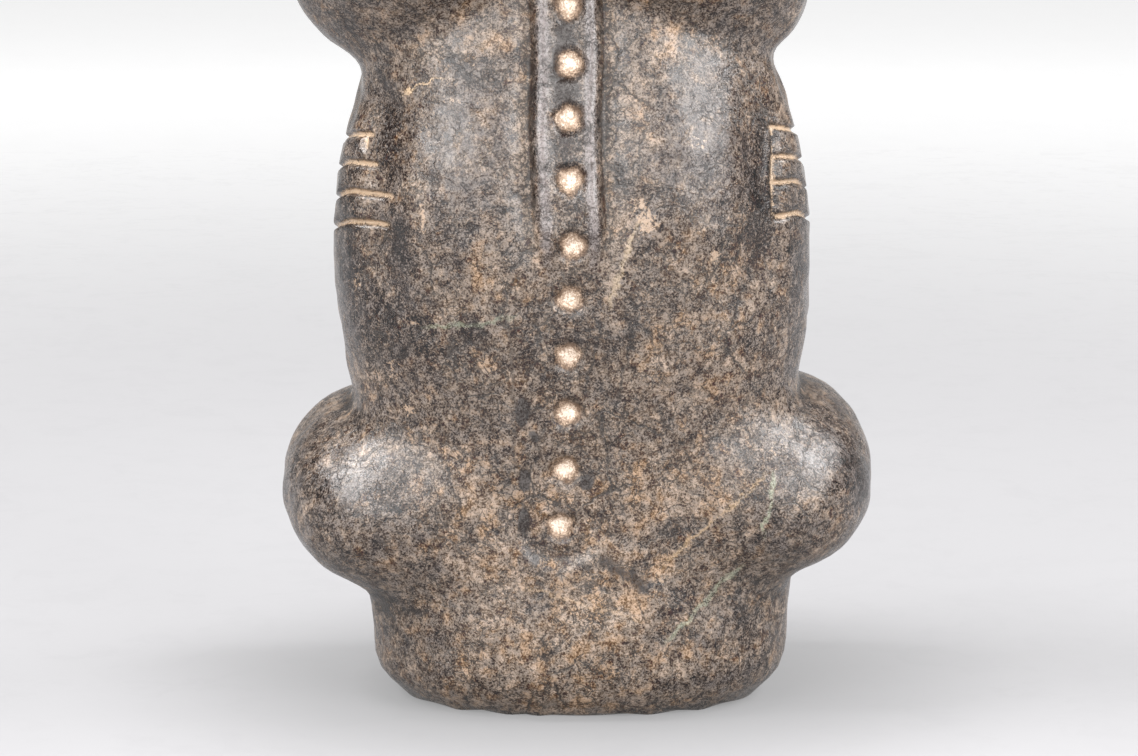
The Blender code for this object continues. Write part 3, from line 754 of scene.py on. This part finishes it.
    # cream in the pits, paler dust in the cut lines
    ring = span(sums([(mark("pits"), 1.0), (specks, 0.5), (grains, 0.5)]), 0.62, 1.0, (0.0, 0.9))
    colour = blend(ring, colour, look["pitRing"])
    fill = span(sums([(mark("pits"), 1.0), (tones, 1.6), (grains, 1.0)]), 1.62, 2.0)
    colour = blend(fill, colour, look["pitFill"])
    cream = span(sums([(mark("pits"), 1.0), (tones, 2.0), (grains, 1.4)]), 2.35, 2.75)
    colour = blend(cream, colour, look["pitCream"])
    dust = span(sums([(mark("cuts"), 1.0), (grains, 1.1), (specks, 0.9)]), 1.45, 1.95, (0.0, 0.9))
    colour = blend(dust, colour, look["dust"])
    tree.links.new(colour, shader.inputs["Base Color"])

    dullness = sums([(share, look["dull"] - look["polish"]), (grains, 0.3), (ring, 0.3), (mark("sheen"), -0.09),
                     (mark("crests"), -0.08), (mark("grooves"), 0.12)],
                    look["polish"] - 0.15)
    tree.links.new(dullness, shader.inputs["Roughness"])
    height = sums([(grains, 0.25), (tones, 0.5), (specks, 0.7), (mottle, 0.5), (crack, -0.4), (crackle, -0.25),
                   (holes, -0.3), (share, 0.1), (bareAndShade, -0.15)])
    bump = addNode(tree, "ShaderNodeBump", {"Strength": 1.0, "Distance": look["grainDepth"] * mm}, {"Height": height})
    tree.links.new(bump.outputs["Normal"], shader.inputs["Normal"])
    shader.inputs["Metallic"].default_value = 0
    shader.inputs["IOR"].default_value = 1.55
    return material


studio = {
    "azimuth": 180,
    "elevation": 9,
    "distance": 0.95,
    "target": (0, 0, 0.084),
    "pixel": 0.000267,       # metres at the target
    "pictureWidth": 1138,    # pixels
    "lightsAim": (0, 0.02, 0.1),
    "overhead": (0.45, 95),  # strength and spread in degrees of the light from above
    # painted light: the paper is drawn darker near the figure and paler far behind
    "floorNear": "#7b7a7c",
    "floorFar": "#d8d8d8",
    "floorGlow": (0.3, 0.6),  # painted light: the paper glows on its own too, most of all far behind
}


def setCamera():
    azimuth, elevation = math.radians(studio["azimuth"]), math.radians(studio["elevation"])
    out = Vector((
        math.sin(azimuth) * math.cos(elevation), -math.cos(azimuth) * math.cos(elevation), math.sin(elevation)
    ))
    camera = bpy.data.objects.new("camera", bpy.data.cameras.new("camera"))
    camera.location = Vector(studio["target"]) + out * studio["distance"]
    camera.rotation_euler = out.to_track_quat("Z", "Y").to_euler()
    camera.data.lens = camera.data.sensor_width * studio["distance"] / (studio["pictureWidth"] * studio["pixel"])
    camera.data.clip_start = 0.01
    bpy.context.scene.collection.objects.link(camera)
    bpy.context.scene.camera = camera


# two bright boxes high at the sides and three broad, dimmer ones behind the figure's back:
# name, place in metres, width, height, watts
softboxes = (
    ("left key", (0.83, 0.09, 1.34), 0.6, 0.6, 29),
    ("right key", (-1.07, -0.11, 1.14), 0.7, 0.6, 22),
    ("left fill", (0.89, 0.98, 0.8), 1.1, 0.9, 24),
    ("right fill", (-0.98, 0.89, 0.8), 1.1, 0.9, 29),
    ("back fill", (0.13, 1.39, 0.62), 0.6, 0.6, 7.5),
)


def addSoftbox(name, place, width, height, power):
    lamp = bpy.data.lights.new(name, "AREA")
    lamp.shape = "RECTANGLE"
    lamp.size, lamp.size_y, lamp.energy = width, height, power
    box = bpy.data.objects.new(name, lamp)
    box.location = place
    box.rotation_euler = (Vector(place) - Vector(studio["lightsAim"])).to_track_quat("Z", "Y").to_euler()
    bpy.context.scene.collection.objects.link(box)


def setLights():
    for name, place, width, height, power in softboxes:
        addSoftbox(name, place, width, height, power)
    overhead = bpy.data.lights.new("overhead", "SUN")
    overhead.energy, overhead.angle = studio["overhead"][0], math.radians(studio["overhead"][1])
    lamp = bpy.data.objects.new("overhead", overhead)
    lamp.location = (0, 0, 2)
    bpy.context.scene.collection.objects.link(lamp)
    world = bpy.data.worlds.new("studio")
    world.use_nodes = True
    bpy.context.scene.world = world
    tree = world.node_tree
    way = addNode(tree, "ShaderNodeSeparateXYZ", links={0: addNode(tree, "ShaderNodeTexCoord").outputs["Generated"]})
    # a bright backdrop behind the figure, dim walls and ceiling elsewhere
    settings = {"interpolation_type": "SMOOTHSTEP", "From Min": -0.96, "From Max": -0.8, "To Min": 0.5, "To Max": 0.2}
    backdrop = addNode(tree, "ShaderNodeMapRange", settings, {"Value": way.outputs["Y"]}).outputs["Result"]
    tree.links.new(backdrop, tree.nodes["Background"].inputs["Strength"])
    tree.nodes["Background"].inputs["Color"].default_value = fromHex("#fbfbfc")


def makeFloor():
    mesh = bmesh.new()
    bmesh.ops.create_circle(mesh, cap_ends=True, segments=96, radius=9)
    data = bpy.data.meshes.new("floor")
    mesh.to_mesh(data)
    mesh.free()
    floor = bpy.data.objects.new("floor", data)
    bpy.context.scene.collection.objects.link(floor)
    material = bpy.data.materials.new("matt paper floor")  # studio paper, evenly dull; its colour is painted light, darker near the figure and paler far behind, with a painted shadow round the figure's foot, and it glows on its own
    material.use_nodes = True
    tree = material.node_tree
    place = addNode(tree, "ShaderNodeTexCoord").outputs["Object"]
    reach = addNode(tree, "ShaderNodeVectorMath", {"operation": "LENGTH"}, {0: place}).outputs["Value"]
    far = addNode(tree, "ShaderNodeMapRange", {"interpolation_type": "SMOOTHSTEP", "From Min": 0.4, "From Max": 2.4},
                  {"Value": reach}).outputs["Result"]
    tints = {"data_type": "RGBA", 6: fromHex(studio["floorNear"]), 7: fromHex(studio["floorFar"])}
    mix = addNode(tree, "ShaderNodeMix", tints, {0: far})
    shader = tree.nodes["Principled BSDF"]
    # faint grey marks, as on a marbled board
    bend = addNode(tree, "ShaderNodeTexNoise", {"Scale": 7, "Detail": 6, "Roughness": 0.6}, {"Vector": place})
    clouds = addNode(tree, "ShaderNodeTexNoise", {"Scale": 14, "Detail": 7, "Roughness": 0.6, "Distortion": 0.6},
                     {"Vector": bend.outputs["Color"]})
    marks = addNode(tree, "ShaderNodeMapRange", {"From Min": 0.5, "From Max": 0.75, "To Min": 0.0, "To Max": 0.16},
                    {"Value": clouds.outputs["Fac"]})
    marked = addNode(tree, "ShaderNodeMix", {"data_type": "RGBA", 7: fromHex("#5b5a5d")},
                     {0: marks.outputs["Result"], 6: mix.outputs[2]})
    # painted shadow: the paper is drawn at half its colour close round the figure's foot, fading out by 14 cm
    dim = addNode(tree, "ShaderNodeMapRange", {"interpolation_type": "SMOOTHSTEP", "From Min": 0.04, "From Max": 0.14,
                                               "To Min": 0.5, "To Max": 1.0}, {"Value": reach}).outputs["Result"]
    shaded = addNode(tree, "ShaderNodeVectorMath", {"operation": "SCALE"}, {0: marked.outputs[2], "Scale": dim})
    tree.links.new(shaded.outputs[0], shader.inputs["Base Color"])
    near, behind = studio["floorGlow"]
    # painted light: the paper glows though it is no lamp, more so far behind
    glow = addNode(tree, "ShaderNodeMapRange", {"interpolation_type": "SMOOTHSTEP", "From Min": 0.5, "From Max": 2.4,
                                                "To Min": near, "To Max": behind}, {"Value": reach})
    tree.links.new(glow.outputs["Result"], shader.inputs["Emission Strength"])
    shader.inputs["Emission Color"].default_value = (1, 1, 1, 1)
    shader.inputs["Roughness"].default_value = 0.9
    shader.inputs["Specular IOR Level"].default_value = 0.1
    data.materials.append(material)


print("camera and lights")
bpy.context.scene.view_settings.view_transform = "Standard"
setCamera()
setLights()
makeFloor()
print("carving the stone")
stone = carveStone()
markStone(stone)
print("finishing the stone:", sum(len(f.vertices) - 2 for f in stone.data.polygons), "triangles")
stone.data.materials.append(polishedStone())
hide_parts("zemi_figure")
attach(stone, "root")
print("done")
